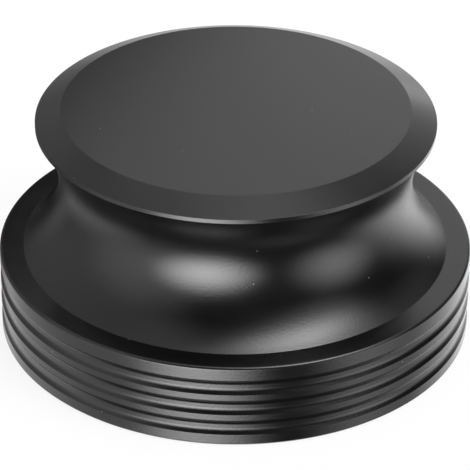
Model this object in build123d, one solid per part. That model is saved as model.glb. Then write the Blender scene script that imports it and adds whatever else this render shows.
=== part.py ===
from build123d import *

import math
import os

# Record weight: one solid, turned from aluminium bar. A grooved base stands on the record's label,
# a waist above it gives the fingers a grip under the rim, and a blind hole in the underside drops
# over the turntable's spindle.
# Sizes are in millimetres. The origin is the centre of the flat underside, and +Z is the turning axis.

# Base
base_diameter = 75.0
base_height = 14.1
base_top_break = 0.45        # 45 degree break on the upper corner
underside_edge_break = 0.4   # 45 degree break on the lower corner
shoulder_width = 3.8         # flat ring between the base's side and the waist, corner break included

# Grooves round the side of the base, which share the height that the lands leave them
groove_count = 3
groove_depth = 0.4
groove_floor = 0.6           # flat strip between the sloping flanks
lowest_land = 2.0            # from the underside to the lowest groove
land_between = 1.0
highest_land = 2.3           # from the highest groove to the shoulder

# Waist, upright at its narrowest and flared out at both ends
waist_diameter = 55.7
waist_height = 25.9
shoulder_flare = 53.0        # degrees from upright where the waist leaves the shoulder
rim_flare = 40.0             # degrees from upright where it reaches the rim

# Cap
overall_height = 38.0
rim_diameter = 62.7
rim_thickness = 0.7          # upright edge of the cap
top_face_diameter = 54.6
bevel_drop = 1.8             # from the top face down to the rim

# Spindle hole, drilled from below
spindle_diameter = 7.2
spindle_clearance = 0.1      # on the radius
bore_depth = 20.0            # to the start of the drill's point
bore_lead_in = 0.8           # 45 degree lead-in at the mouth
drill_point_angle = 118.0

# Worked out from the sizes above
base_radius = base_diameter / 2
land_total = lowest_land + highest_land + (groove_count - 1) * land_between
groove_width = (base_height - land_total) / groove_count
rim_radius = rim_diameter / 2
rim_top = overall_height - bevel_drop
rim_underside = rim_top - rim_thickness
bore_radius = spindle_diameter / 2 + spindle_clearance


def groove_corners():
    """The corners that the grooves give the base's side in section, from the lowest groove up."""
    floor_radius = base_radius - groove_depth
    flank_height = (groove_width - groove_floor) / 2
    corners = []
    for index in range(groove_count):
        lower = lowest_land + index * (groove_width + land_between)
        upper = lower + groove_width
        corners += [
            (base_radius, lower),
            (floor_radius, lower + flank_height),
            (floor_radius, upper - flank_height),
            (base_radius, upper),
        ]
    return corners


def flared_waist(shoulder_inner, rim_lower):
    """The hollow grip in section, from the shoulder's inner edge up to the rim's lower edge."""
    waist = (waist_diameter / 2, waist_height)
    off_shoulder = Vector(0, 1).rotate(Axis.Z, shoulder_flare)
    upright = Vector(0, 1)
    onto_rim = Vector(0, 1).rotate(Axis.Z, -rim_flare)
    return Spline(shoulder_inner, waist, rim_lower, tangents=[off_shoulder, upright, onto_rim])


def turned_body():
    """The outside form: half a section, turned about the axis."""
    foot = (base_radius - underside_edge_break, 0)
    side_bottom = (base_radius, underside_edge_break)
    side_top = (base_radius, base_height - base_top_break)
    shoulder_outer = (base_radius - base_top_break, base_height)
    shoulder_inner = (base_radius - shoulder_width, base_height)
    rim_lower = (rim_radius, rim_underside)
    rim_upper = (rim_radius, rim_top)
    top_edge = (top_face_diameter / 2, overall_height)

    half_section = [
        Polyline((0, 0), foot, side_bottom, *groove_corners(), side_top, shoulder_outer, shoulder_inner),
        flared_waist(shoulder_inner, rim_lower),
        Polyline(rim_lower, rim_upper, top_edge, (0, overall_height), (0, 0)),
    ]
    return revolve(Plane.XZ * make_face(half_section), Axis.Z)


def spindle_hole():
    """The drilled hole with its lead-in and the cone that the drill's point leaves."""
    point_depth = bore_radius / math.tan(math.radians(drill_point_angle / 2))
    half_section = Polyline(
        (0, 0),
        (bore_radius + bore_lead_in, 0),
        (bore_radius, bore_lead_in),
        (bore_radius, bore_depth),
        (0, bore_depth + point_depth),
        close=True,
    )
    return revolve(Plane.XZ * make_face(half_section), Axis.Z)


weight_body = turned_body() - spindle_hole()

os.makedirs("parts", exist_ok=True)
export_step(weight_body, "parts/weight_body.step")
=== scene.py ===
import math

import bpy
from mathutils import Matrix, Vector


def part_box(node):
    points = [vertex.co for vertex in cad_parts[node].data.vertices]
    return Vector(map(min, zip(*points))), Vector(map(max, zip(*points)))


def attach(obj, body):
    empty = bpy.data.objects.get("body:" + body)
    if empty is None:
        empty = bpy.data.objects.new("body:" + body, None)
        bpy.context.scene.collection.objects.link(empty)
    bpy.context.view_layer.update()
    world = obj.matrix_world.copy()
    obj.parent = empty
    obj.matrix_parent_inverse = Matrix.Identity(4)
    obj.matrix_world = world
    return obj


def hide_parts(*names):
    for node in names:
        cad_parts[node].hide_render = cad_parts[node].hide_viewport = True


# Record weight in satin black anodised aluminium, in a white studio.
# The sizes of the form are in millimetres, as in the solid's source, and everything else is in metres.

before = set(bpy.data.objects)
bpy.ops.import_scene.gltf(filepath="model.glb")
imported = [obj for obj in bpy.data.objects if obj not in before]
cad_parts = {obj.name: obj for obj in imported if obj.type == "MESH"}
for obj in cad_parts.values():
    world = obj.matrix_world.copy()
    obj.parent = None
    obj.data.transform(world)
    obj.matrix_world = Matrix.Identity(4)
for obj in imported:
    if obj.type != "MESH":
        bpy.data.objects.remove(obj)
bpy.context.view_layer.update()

MM = 0.001
SEGMENTS = 384               # round the axis
WAIST_STEPS = 22             # for each half of the waist's curve
ROUNDING_STEP = 12.0         # degrees of turn for each step round an edge

# Form: the base's diameter and the overall height come from the frame
low_corner, high_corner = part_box("weight_body")
base_radius = (high_corner.x - low_corner.x) / 2 / MM
overall_height = high_corner.z / MM
base_height = 14.1
underside_edge_break = 0.4
shoulder_width = 3.8
groove_count = 3
groove_depth = 0.4
groove_flank = 30.0          # degrees from upright where a groove meets the land
lowest_land = 2.0
land_between = 1.0
highest_land = 2.3
waist_radius = 27.85
waist_height = 25.9
rim_radius = 31.35
rim_thickness = 0.7
top_face_radius = 27.3
bevel_drop = 1.8
bore_radius = 3.7
bore_depth = 20.0
bore_lead_in = 0.8
drill_point_angle = 118.0

# Roundings of the edges
shoulder_rounding = 0.48
groove_inner_rounding = 1.25
fine_edge = 0.07             # what tumbling leaves on a turned edge
top_edge_rounding = 0.1

# Camera, fitted to the photograph's edges
view_elevation = 31.08       # degrees
view_distance = 0.49226
view_target = Vector((-0.00003, 0.0, 0.01474))
view_roll = 0.415            # degrees
view_lens = 236.37           # focal length in millimetres, for the sensor below
sensor_width = 36.0
clip_near = 0.01
clip_far = 20.0

# Finish
oxide_ior = 1.72
satin_roughness = 0.235
gloss_drift = 0.012          # how far the roughness strays in clouds, and again along the turning marks
dye_deep = (0.0035, 0.0035, 0.0036, 1)
dye_pale = (0.0058, 0.0057, 0.0059, 1)
cloud_size = 0.006
cloud_detail = 3.0
grain_size = 0.0003
grain_depth = 0.000008
end_grain = 0.3              # share of the grain on the flat ends, which are turned finer
end_facing = (0.8, 0.98)     # a normal's upright part where the grain starts to fade, and where it is least
mark_size = 0.0005
mark_depth = 0.000003
MARK_DRIFT = 0.02            # how far a turning mark wanders, as a share of the way along it
NOISE_RANGE = (0.3, 0.7)     # where nearly all of a noise pattern's values lie

# Wear along the edges, and dust
worn_colour = (0.02, 0.02, 0.0205, 1)
worn_clouds = (0.45, 0.75)   # cloud values where wear starts to grow and where it is full
worn_share = (0.1, 0.6)      # share of the worn colour on an edge, at the least and the most
dust_colour = (0.35, 0.34, 0.32, 1)
dust_roughness = 0.4         # over the satin's own
speck_spacing = 0.0045
speck_radius = 0.00011
speck_core = 0.6             # share of a speck's radius that it covers fully
speck_height = 0.00003

# Studio
lamp_distance = 1.0
lamp_target = Vector((0, 0, 0.02))
LAMP_MIDDLE = (0.5, 0.5, 0)  # in a lamp's own coordinates, which run from 0 to 1 across it
LAMP_EDGE = 0.5              # from its middle
lamps = [
    # name, azimuth right of the camera, elevation, roll, width and height in degrees, radiance,
    # and for a lamp close by its distance and the share of it that has the full strength
    ("key", 54, 60, -87, 101, 74, 1.84),
    ("low_front", -17, -20, 1, 72, 57, 6.80),
    ("low_right", 62, -18, -19, 67, 61, 1.88),
    ("back_right", 151, -31, -30, 92, 120, 0.97),
    ("left", -94, 20, -60, 152, 130, 0.39),
    ("top", 168, 50, 54, 92, 62, 0.60, 0.15, 0.6),
    ("low_left", -55, -15, 56, 100, 91, 0.51),
    ("low_back", -141, -45, -90, 109, 32, 0.28),
    ("low_back_right", 140, -30, 6, 123, 84, 0.77),
    ("back_left", -165, -2, -28, 6, 144, 0.51),
    ("key_middle", 47, 52, -43, 64, 39, 4.08),
    ("side_right", 84, 73, 39, 83, 150, 0.27),
    ("back", 166, 15, -46, 14, 45, 1.61),
    ("base_left", -93, -40, 0, 72, 53, 0.88, 0.065, 0.3),
]
world_strength = 0.01
paper_colour = (0.2, 0.2, 0.2, 1)
paper_glow = 0.86
SWEEP_SEGMENTS = 96
SWEEP_STEPS = 12             # up the curve between floor and wall
sweep_radius = 2.0
sweep_curve = 1.0
sweep_height = 4.0


def groove_corners():
    """Corners of the grooves in section, each with its rounding, from the lowest groove up."""
    land_total = lowest_land + highest_land + (groove_count - 1) * land_between
    groove_width = (base_height - land_total) / groove_count
    flank_height = groove_depth / math.tan(math.radians(groove_flank))
    floor_radius = base_radius - groove_depth
    corners = []
    for index in range(groove_count):
        lower = lowest_land + index * (groove_width + land_between)
        upper = lower + groove_width
        corners += [
            (base_radius, lower, fine_edge),
            (floor_radius, lower + flank_height, groove_inner_rounding),
            (floor_radius, upper - flank_height, groove_inner_rounding),
            (base_radius, upper, fine_edge),
        ]
    return corners


def waist_curve(end_radius, end_height):
    """The arc that leaves the waist upright and ends at the given place, without that last point."""
    out = end_radius - waist_radius
    along = end_height - waist_height
    arc_radius = (out**2 + along**2) / (2 * out)
    sweep = math.asin(along / arc_radius)
    points = []
    for step in range(WAIST_STEPS):
        turn = sweep * step / WAIST_STEPS
        radius = waist_radius + arc_radius * (1 - math.cos(turn))
        points.append((radius, waist_height + arc_radius * math.sin(turn), 0))
    return points


def section_corners():
    """Half the section as corners (radius, height, rounding), from the bore's end to the top's centre."""
    point_depth = bore_radius / math.tan(math.radians(drill_point_angle / 2))
    rim_top = overall_height - bevel_drop
    shoulder_inner = base_radius - shoulder_width
    lower_waist = waist_curve(shoulder_inner, base_height)
    upper_waist = waist_curve(rim_radius, rim_top - rim_thickness)
    return [
        (0, bore_depth + point_depth, 0),
        (bore_radius, bore_depth, fine_edge),
        (bore_radius, bore_lead_in, fine_edge),
        (bore_radius + bore_lead_in, 0, fine_edge),
        (base_radius - underside_edge_break, 0, fine_edge),
        (base_radius, underside_edge_break, fine_edge),
        *groove_corners(),
        (base_radius, base_height, shoulder_rounding),
        (shoulder_inner, base_height, fine_edge),
        *reversed(lower_waist[1:]),
        *upper_waist,
        (rim_radius, rim_top - rim_thickness, fine_edge),
        (rim_radius, rim_top, fine_edge),
        (top_face_radius, overall_height, top_edge_rounding),
        (0, overall_height, 0),
    ]


def rounded(before, corner, after, radius):
    """Points, outward normals and wear along the arc that rounds one corner of the section."""
    arriving = (corner - before).normalized()
    leaving = (after - corner).normalized()
    turn = arriving.angle_signed(leaving)
    side = 1 if turn < 0 else -1
    start = corner - arriving * radius * math.tan(abs(turn) / 2)
    centre = start + side * radius * Vector((-arriving.y, arriving.x))
    steps = max(2, round(math.degrees(abs(turn)) / ROUNDING_STEP))
    line = []
    for step in range(steps + 1):
        heading = Matrix.Rotation(-turn * step / steps, 2) @ arriving
        outward = Vector((heading.y, -heading.x))
        wear = side * math.sin(math.pi * step / steps)
        line.append((centre + side * radius * outward, outward, max(0, wear)))
    return line


def section_line():
    """The section's points, each with its outward normal and how much it wears as an edge."""
    corners = section_corners()
    places = [Vector(corner[:2]) for corner in corners]
    line = [(places[0], Vector((0, -1)), 0)]
    for index in range(1, len(corners) - 1):
        before, corner, after = places[index - 1:index + 2]
        rounding = corners[index][2]
        if rounding:
            line += rounded(before, corner, after, rounding)
        else:
            heading = (corner - before).normalized() + (after - corner).normalized()
            line.append((corner, Vector((heading.y, -heading.x)).normalized(), 0))
    line.append((places[-1], Vector((0, 1)), 0))
    return line


def faces_between(lower, upper):
    """Faces that join two rings of vertices, either of which may be a single one on the axis."""
    faces = []
    for step in range(SEGMENTS):
        after = (step + 1) % SEGMENTS
        corners = [lower[step % len(lower)], lower[after % len(lower)]]
        corners += [upper[after % len(upper)], upper[step % len(upper)]]
        faces.append(list(dict.fromkeys(corners)))
    return faces


def turned_mesh(name):
    """The section turned about Z, with the normals that its exact curve has."""
    angles = [math.tau * step / SEGMENTS for step in range(SEGMENTS)]
    vertices, normals, edges, rings = [], [], [], []
    for place, outward, wear in section_line():
        turns = angles if place.x else angles[:1]
        rings.append(range(len(vertices), len(vertices) + len(turns)))
        edges += [wear] * len(turns)
        for angle in turns:
            cosine, sine = math.cos(angle), math.sin(angle)
            vertices.append((place.x * cosine * MM, place.x * sine * MM, place.y * MM))
            normals.append((outward.x * cosine, outward.x * sine, outward.y))
    faces = []
    for lower, upper in zip(rings, rings[1:]):
        faces += faces_between(lower, upper)
    mesh = bpy.data.meshes.new(name)
    mesh.from_pydata(vertices, [], faces)
    mesh.validate()
    mesh.shade_smooth()
    mesh.normals_split_custom_set_from_vertices(normals)
    mesh.attributes.new("edge", "FLOAT", "POINT").data.foreach_set("value", edges)
    return mesh


def add_object(name, data):
    """A new object of the scene that holds the given mesh, lamp or camera."""
    added = bpy.data.objects.new(name, data)
    bpy.context.scene.collection.objects.link(added)
    return added


def add_camera():
    data = bpy.data.cameras.new("camera")
    data.lens = view_lens
    data.sensor_width = sensor_width
    data.clip_start = clip_near
    data.clip_end = clip_far
    camera = add_object("camera", data)
    elevation = math.radians(view_elevation)
    back = Vector((0, -math.cos(elevation), math.sin(elevation)))
    tilt = Matrix.Rotation(math.pi / 2 - elevation, 4, "X")
    roll = Matrix.Rotation(math.radians(view_roll), 4, "Z")
    camera.matrix_world = Matrix.Translation(view_target + back * view_distance) @ tilt @ roll
    bpy.context.scene.camera = camera


def feed(tree, socket, value):
    """Gives a socket a plain value, or links another socket to it."""
    if isinstance(value, bpy.types.NodeSocket):
        tree.links.new(value, socket)
    else:
        socket.default_value = value


def calculate(tree, operation, *values):
    """The result of one step of arithmetic on sockets and numbers."""
    node = tree.nodes.new("ShaderNodeMath")
    node.operation = operation
    for socket, value in zip(node.inputs, values):
        feed(tree, socket, value)
    return node.outputs["Value"]


def calculate_vector(tree, operation, *values):
    """The result of one step of arithmetic on vectors, a number for a length or a distance."""
    node = tree.nodes.new("ShaderNodeVectorMath")
    node.operation = operation
    for socket, value in zip(node.inputs, values):
        feed(tree, socket, value)
    return node.outputs["Value" if operation in ("LENGTH", "DISTANCE") else "Vector"]


def noise(tree, place, size, detail=2.0):
    """A random pattern with features of about the given size, in metres."""
    node = tree.nodes.new("ShaderNodeTexNoise")
    node.inputs["Scale"].default_value = 1 / size
    node.inputs["Detail"].default_value = detail
    feed(tree, node.inputs["Vector"], place)
    return node.outputs["Fac"]


def cells(tree, place, spacing):
    """The distance to the nearest of many scattered points, as a share of their spacing in metres."""
    node = tree.nodes.new("ShaderNodeTexVoronoi")
    node.inputs["Scale"].default_value = 1 / spacing
    feed(tree, node.inputs["Vector"], place)
    return node.outputs["Distance"]


def ramp(tree, value, source, target, interpolation="LINEAR"):
    """The value's range from one end of source to the other, spread over target and held at its ends."""
    node = tree.nodes.new("ShaderNodeMapRange")
    node.interpolation_type = interpolation
    node.inputs["From Min"].default_value, node.inputs["From Max"].default_value = source
    node.inputs["To Min"].default_value, node.inputs["To Max"].default_value = target
    feed(tree, node.inputs["Value"], value)
    return node.outputs["Result"]


def mix_colour(tree, share, first, second):
    node = tree.nodes.new("ShaderNodeMix")
    node.data_type = "RGBA"
    feed(tree, node.inputs["Factor"], share)
    for name, colour in (("A", first), ("B", second)):
        ends = [socket for socket in node.inputs if socket.name == name and socket.type == "RGBA"]
        feed(tree, ends[0], colour)
    return next(socket for socket in node.outputs if socket.type == "RGBA")


def round_the_axis(tree, place):
    """Coordinates that change quickly across the turning marks and slowly along them."""
    flat = calculate_vector(tree, "MULTIPLY", place, (1, 1, 0))
    radius = calculate_vector(tree, "LENGTH", flat)
    slow = calculate_vector(tree, "MULTIPLY", place, (MARK_DRIFT, MARK_DRIFT, 1))
    along_radius = tree.nodes.new("ShaderNodeCombineXYZ")
    feed(tree, along_radius.inputs["X"], radius)
    return calculate_vector(tree, "ADD", slow, along_radius.outputs["Vector"])


def grain_share(tree, normal):
    """How much of the grain a face keeps: all of it on the sides, and less on the flat ends."""
    parts = tree.nodes.new("ShaderNodeSeparateXYZ")
    feed(tree, parts.inputs["Vector"], normal)
    upright = calculate(tree, "ABSOLUTE", parts.outputs["Z"])
    return ramp(tree, upright, end_facing, (1, end_grain))


def dust_specks(tree, place):
    """1 on a few tiny specks, and 0 elsewhere."""
    edge = speck_radius / speck_spacing
    return ramp(tree, cells(tree, place, speck_spacing), (speck_core * edge, edge), (1, 0))


def anodised_black():
    """Black dyed oxide on blasted aluminium: a fine satin grain over faint turning marks."""
    material = bpy.data.materials.new("black_anodised")
    material.use_nodes = True
    tree = material.node_tree
    shader = tree.nodes["Principled BSDF"]
    shader.inputs["IOR"].default_value = oxide_ior

    coordinates = tree.nodes.new("ShaderNodeTexCoord")
    place = coordinates.outputs["Object"]
    cloud = noise(tree, place, cloud_size, cloud_detail)
    pits = cells(tree, place, grain_size)
    grain = calculate(tree, "MULTIPLY", pits, grain_share(tree, coordinates.outputs["Normal"]))
    marks = noise(tree, round_the_axis(tree, place), mark_size)
    dust = dust_specks(tree, place)
    edge = tree.nodes.new("ShaderNodeAttribute")
    edge.attribute_name = "edge"
    worn = calculate(tree, "MULTIPLY", edge.outputs["Fac"], ramp(tree, cloud, worn_clouds, worn_share))

    dye = mix_colour(tree, ramp(tree, cloud, NOISE_RANGE, (0, 1)), dye_deep, dye_pale)
    dye = mix_colour(tree, worn, dye, worn_colour)
    feed(tree, shader.inputs["Base Color"], mix_colour(tree, dust, dye, dust_colour))

    satin_range = (satin_roughness - gloss_drift, satin_roughness + gloss_drift)
    satin = ramp(tree, cloud, NOISE_RANGE, satin_range)
    satin = calculate(tree, "ADD", satin, ramp(tree, marks, NOISE_RANGE, (-gloss_drift, gloss_drift)))
    feed(tree, shader.inputs["Roughness"], calculate(tree, "MULTIPLY_ADD", dust, dust_roughness, satin))

    relief = calculate(tree, "MULTIPLY", grain, grain_depth)
    relief = calculate(tree, "MULTIPLY_ADD", marks, mark_depth, relief)
    relief = calculate(tree, "MULTIPLY_ADD", dust, speck_height, relief)
    bump = tree.nodes.new("ShaderNodeBump")
    feed(tree, bump.inputs["Height"], relief)
    bump.inputs["Distance"].default_value = 1.0    # the relief is in metres
    feed(tree, shader.inputs["Normal"], bump.outputs["Normal"])
    return material


def soften(data, core):
    """Fades a lamp from full strength, in the core's share of its radius, to nothing at its edge."""
    data.use_nodes = True
    tree = data.node_tree
    spot = tree.nodes.new("ShaderNodeNewGeometry").outputs["Parametric"]
    from_middle = calculate_vector(tree, "DISTANCE", spot, LAMP_MIDDLE)
    strength = ramp(tree, from_middle, (LAMP_EDGE * core, LAMP_EDGE), (1, 0), "SMOOTHSTEP")
    feed(tree, tree.nodes["Emission"].inputs["Strength"], strength)


def add_lamp(name, azimuth, elevation, roll, width, height, radiance, distance=lamp_distance, core=0.0):
    """A soft oval lamp, placed and sized by the angles (degrees) at which the weight sees it."""
    turn, rise = math.radians(azimuth), math.radians(elevation)
    across = Vector((math.cos(turn), math.sin(turn), 0))
    away = Vector((math.sin(turn) * math.cos(rise), -math.cos(turn) * math.cos(rise), math.sin(rise)))
    axes = Matrix((across, away.cross(across), away)).transposed().to_4x4()
    data = bpy.data.lights.new(name, "AREA")
    data.shape = "ELLIPSE"
    data.size = 2 * distance * math.tan(math.radians(width / 2))
    data.size_y = 2 * distance * math.tan(math.radians(height / 2))
    area = math.pi / 4 * data.size * data.size_y
    data.energy = radiance * math.pi * area
    soften(data, core)
    lamp = add_object(name, data)
    spin = Matrix.Rotation(math.radians(roll), 4, "Z")
    lamp.matrix_world = Matrix.Translation(lamp_target + away * distance) @ axes @ spin
    lamp.visible_camera = False


def sweep_mesh():
    """A round floor that curves up into a wall."""
    line = [(0.0, 0.0), (sweep_radius, 0.0)]
    for step in range(1, SWEEP_STEPS + 1):
        turn = math.pi / 2 * step / SWEEP_STEPS
        line.append((sweep_radius + sweep_curve * math.sin(turn), sweep_curve * (1 - math.cos(turn))))
    line.append((sweep_radius + sweep_curve, sweep_height))
    vertices = []
    for radius, height in line:
        for step in range(SWEEP_SEGMENTS):
            turn = math.tau * step / SWEEP_SEGMENTS
            vertices.append((radius * math.cos(turn), radius * math.sin(turn), height))
    faces = []
    for ring in range(len(line) - 1):
        for step in range(SWEEP_SEGMENTS):
            here = ring * SWEEP_SEGMENTS + step
            after = ring * SWEEP_SEGMENTS + (step + 1) % SWEEP_SEGMENTS
            faces.append((here, here + SWEEP_SEGMENTS, after + SWEEP_SEGMENTS, after))
    mesh = bpy.data.meshes.new("sweep")
    mesh.from_pydata(vertices, [], faces)
    return mesh


def white_paper():
    material = bpy.data.materials.new("white_paper")
    material.use_nodes = True
    shader = material.node_tree.nodes["Principled BSDF"]
    shader.inputs["Base Color"].default_value = paper_colour
    shader.inputs["Roughness"].default_value = 1.0
    shader.inputs["Specular IOR Level"].default_value = 0.0
    shader.inputs["Emission Color"].default_value = (1, 1, 1, 1)
    shader.inputs["Emission Strength"].default_value = paper_glow
    return material


def add_sweep():
    """The white floor and wall, which only the camera sees: the lamps alone give the reflections."""
    sweep = add_object("sweep", sweep_mesh())
    sweep.data.materials.append(white_paper())
    sweep.visible_glossy = False
    sweep.visible_diffuse = False
    sweep.visible_shadow = False


def add_world():
    world = bpy.data.worlds.new("studio")
    world.use_nodes = True
    background = world.node_tree.nodes["Background"]
    background.inputs["Color"].default_value = (1, 1, 1, 1)
    background.inputs["Strength"].default_value = world_strength
    bpy.context.scene.world = world


weight = add_object("weight", turned_mesh("weight"))
weight.data.materials.append(anodised_black())
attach(weight, "root")
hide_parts("weight_body")

add_camera()
add_world()
for lamp in lamps:
    add_lamp(*lamp)
add_sweep()
bpy.context.scene.view_settings.view_transform = "Standard"
